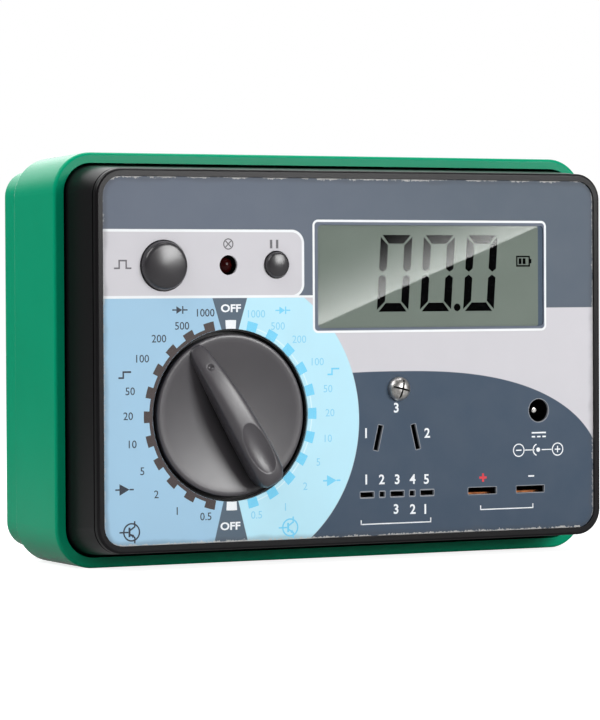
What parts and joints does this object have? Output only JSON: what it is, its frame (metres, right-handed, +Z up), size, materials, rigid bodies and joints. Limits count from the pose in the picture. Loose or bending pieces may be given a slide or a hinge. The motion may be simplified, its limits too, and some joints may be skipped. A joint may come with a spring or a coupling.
{
  "type": "transistor tester",
  "caption": "Upright bench transistor tester: green tub case, black front, printed panel with a large rotary selector, display window, push buttons and component sockets.",
  "frame": {"origin": "centre of the flat underside of the green case, half way along its wide band", "axes": "+X to the right of the face, +Z up, the face looks along -Y"},
  "size_m": [0.1636, 0.0677, 0.1104],
  "materials": {
    "green_plastic": "fine satin texture",
    "black_plastic": "semi-gloss moulded",
    "panel_print": "printed satin sheet",
    "window_clear": "clear acrylic",
    "display_grey": "reflective liquid-crystal glass",
    "knob_grey": "satin moulded",
    "button_grey": "satin moulded",
    "lamp_red": "clear tinted epoxy",
    "terminal_chrome": "bright nickel plate",
    "contact_copper": "phosphor bronze",
    "pin_steel": "bright pin",
    "screw_steel": "zinc plated",
    "leaf_steel": "nickel plated strip",
    "socket_black": "moulded insulator",
    "switch_white": "acetal",
    "strip_rubber": "layered conductive rubber",
    "board_green": "solder resist",
    "core_ferrite": "sintered ferrite",
    "coil_tape": "wound wire under tape",
    "can_sleeve": "shrink sleeve",
    "film_red": "dipped coating",
    "cell_label": "plain shrink label",
    "wire_red": "insulated wire",
    "wire_black": "insulated wire"
  },
  "bodies": {
    "case": {"rear_case": "green_plastic", "front_case": "black_plastic", "front_panel": "panel_print", "display_window": "window_clear", "display_glass": "display_grey", "display_holder": "switch_white", "display_strips": "strip_rubber", "detent_ring": "switch_white", "test_switch": "socket_black", "hold_switch": "socket_black", "warning_lamp": "lamp_red", "lamp_spacer": "switch_white", "collector_screw": "terminal_chrome", "collector_nut": "terminal_chrome", "collector_lug": "contact_copper", "emitter_base_block": "socket_black", "emitter_base_contacts": "contact_copper", "transistor_block": "socket_black", "transistor_contacts": "contact_copper", "capacitor_block": "socket_black", "capacitor_contacts": "contact_copper", "power_jack": "socket_black", "power_jack_pin": "pin_steel", "main_board": "board_green", "board_screws": "screw_steel", "transformer_core": "core_ferrite", "transformer_coil": "coil_tape", "electrolytic_capacitors": "can_sleeve", "film_capacitor": "film_red", "converter_chip": "socket_black", "display_chip": "socket_black", "case_screws": "screw_steel", "battery_cells": "cell_label", "battery_contacts": "leaf_steel", "battery_wire_red": "wire_red", "battery_wire_black": "wire_black"},
    "selector": {"selector_knob": "knob_grey", "switch_rotor": "switch_white", "rotor_screw": "screw_steel", "switch_wipers": "contact_copper", "detent_balls": "screw_steel", "detent_springs": "screw_steel"},
    "test_button": {"test_button": "button_grey", "test_plunger": "switch_white"},
    "hold_button": {"hold_button": "button_grey", "hold_plunger": "switch_white"},
    "battery_door": {"battery_door": "green_plastic"}
  },
  "joints": [
    {"name": "selector_turn", "type": "hinge", "parent": "case", "child": "selector", "pos_m": [-0.038, -0.0309, 0.04045], "axis": [0, -1, 0], "continuous": true},
    {"name": "test_press", "type": "slide", "parent": "case", "child": "test_button", "axis": [0, 1, 0], "range_m": [0, 0.0015], "stiffness_N_per_m": 400},
    {"name": "hold_press", "type": "slide", "parent": "case", "child": "hold_button", "axis": [0, 1, 0], "range_m": [0, 0.001], "stiffness_N_per_m": 400},
    {"name": "door_slide", "type": "slide", "parent": "case", "child": "battery_door", "axis": [0, 0, 1], "range_m": [0, 0.07]}
  ]
}
